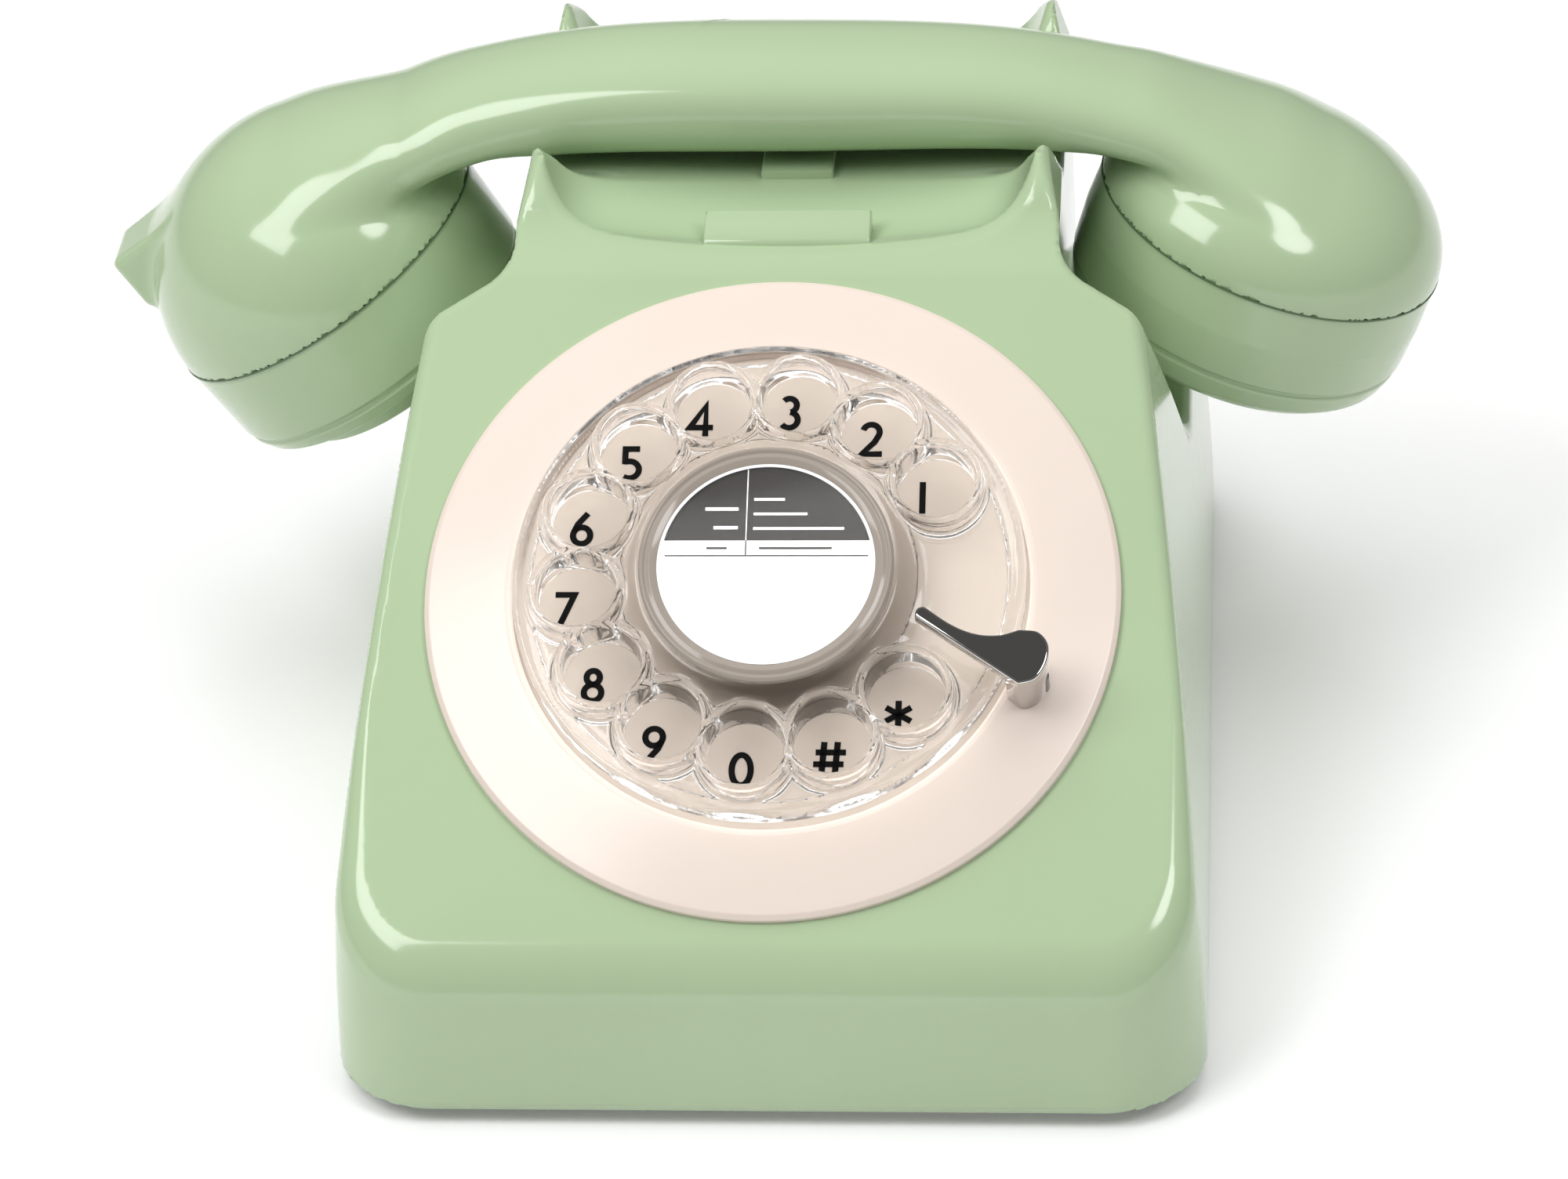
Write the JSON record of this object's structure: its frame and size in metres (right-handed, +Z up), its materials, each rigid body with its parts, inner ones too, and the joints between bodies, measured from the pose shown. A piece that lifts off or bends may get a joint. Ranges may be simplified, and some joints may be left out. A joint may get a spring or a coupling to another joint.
{
  "type": "rotary telephone",
  "caption": "Desk telephone with a rotary dial on a sloping rounded case and a handset lying across its cradle.",
  "frame": {"origin": "under the middle of the whole telephone, on the surface that the rubber feet stand on; the case's middle plane is X = 5.5 mm, because the handset reaches further on the left", "axes": "+Z up; -Y towards the user, the way the dial faces; +X to the user's right, along the handset"},
  "size_m": [0.2266, 0.1934, 0.1141],
  "materials": {
    "case_green": "polished",
    "cream": "polished",
    "beige_plate": "satin",
    "clear_plastic": "clear, polished",
    "hub_grey": "polished",
    "card": "printed card",
    "chrome": "polished",
    "steel": "plain",
    "brass": "machined",
    "black_plastic": "moulded",
    "rubber": "moulded",
    "iron": "plain",
    "copper_coil": "enamelled wire",
    "board": "laminate"
  },
  "bodies": {
    "base": {"case": "case_green", "base_plate": "steel", "rubber_feet": "rubber", "base_screws": "steel", "dial_bezel": "cream", "number_plate": "beige_plate", "finger_stop": "chrome", "finger_stop_screw": "steel", "dial_frame": "steel", "dial_screws": "steel", "dial_bridge": "brass", "bridge_screws": "steel", "mainspring": "steel", "governor_cup": "brass", "contact_block": "black_plastic", "pulse_contacts": "brass", "hook_guide": "black_plastic", "hook_spring": "steel", "hook_contacts": "black_plastic", "ringer_frame": "steel", "gong_left": "brass", "gong_right": "brass", "gong_screws": "steel", "ringer_coils": "copper_coil", "ringer_cores": "iron", "circuit_board": "board", "board_components": "black_plastic", "board_screws": "steel", "line_socket": "black_plastic", "cord_socket": "black_plastic", "ringer_switch": "black_plastic"},
    "dial": {"finger_wheel": "clear_plastic", "hub_ring": "hub_grey", "label_card": "card", "label_lens": "clear_plastic", "label_backing": "hub_grey", "dial_spindle": "steel", "wheel_clamp_screw": "steel", "main_gear": "brass"},
    "pinion": {"pulse_pinion": "brass", "pulse_cam": "black_plastic", "worm_wheel": "brass"},
    "governor": {"governor_worm": "steel", "governor_weights": "brass"},
    "hook": {"hook_bar": "case_green"},
    "clapper": {"clapper": "steel"},
    "slider": {"ringer_slider": "black_plastic"},
    "handset": {"handset_shell": "case_green", "handset_socket": "black_plastic", "handset_weight": "iron", "mouth_cap": "case_green", "ear_cap": "case_green", "transmitter_capsule": "steel", "transmitter_gasket": "rubber", "transmitter_holder": "black_plastic", "receiver_capsule": "steel", "receiver_gasket": "rubber", "receiver_holder": "black_plastic"}
  },
  "joints": [
    {"name": "dial_turn", "type": "hinge", "parent": "base", "child": "dial", "pos_m": [0.0055, -0.04241, 0.0632], "axis": [0, -0.5446, 0.8387], "range_deg": [-325, 0], "stiffness_Nm_per_rad": 0.008, "springref_deg": 68.75},
    {"name": "pinion_spin", "type": "hinge", "parent": "base", "child": "pinion", "pos_m": [-0.01711, -0.04915, 0.04451], "axis": [0, -0.5446, 0.8387], "range_deg": [0, 1300]},
    {"name": "governor_spin", "type": "hinge", "parent": "base", "child": "governor", "pos_m": [-0.0005, -0.05274, 0.03443], "axis": [1, 0, 0], "range_deg": [-7800, 0]},
    {"name": "handset_lift", "type": "slide", "parent": "base", "child": "handset", "axis": [0, 0, 1], "range_m": [0, 0.12]},
    {"name": "hook_rise", "type": "slide", "parent": "base", "child": "hook", "axis": [0, 0, 1], "range_m": [0, 0.004], "deforming": ["hook_spring"]},
    {"name": "clapper_swing", "type": "hinge", "parent": "base", "child": "clapper", "pos_m": [0.0055, 0.031, 0.013], "axis": [0, 0, 1], "range_deg": [-2.5, 2.5]},
    {"name": "ringer_slide", "type": "slide", "parent": "base", "child": "slider", "axis": [1, 0, 0], "range_m": [-0.0025, 0.0025]}
  ],
  "couplings": [
    {"joint": "pinion_spin", "follows": "dial_turn", "ratio": -4},
    {"joint": "governor_spin", "follows": "dial_turn", "ratio": 24},
    {"joint": "hook_rise", "follows": "handset_lift", "ratio": 0.033333}
  ]
}
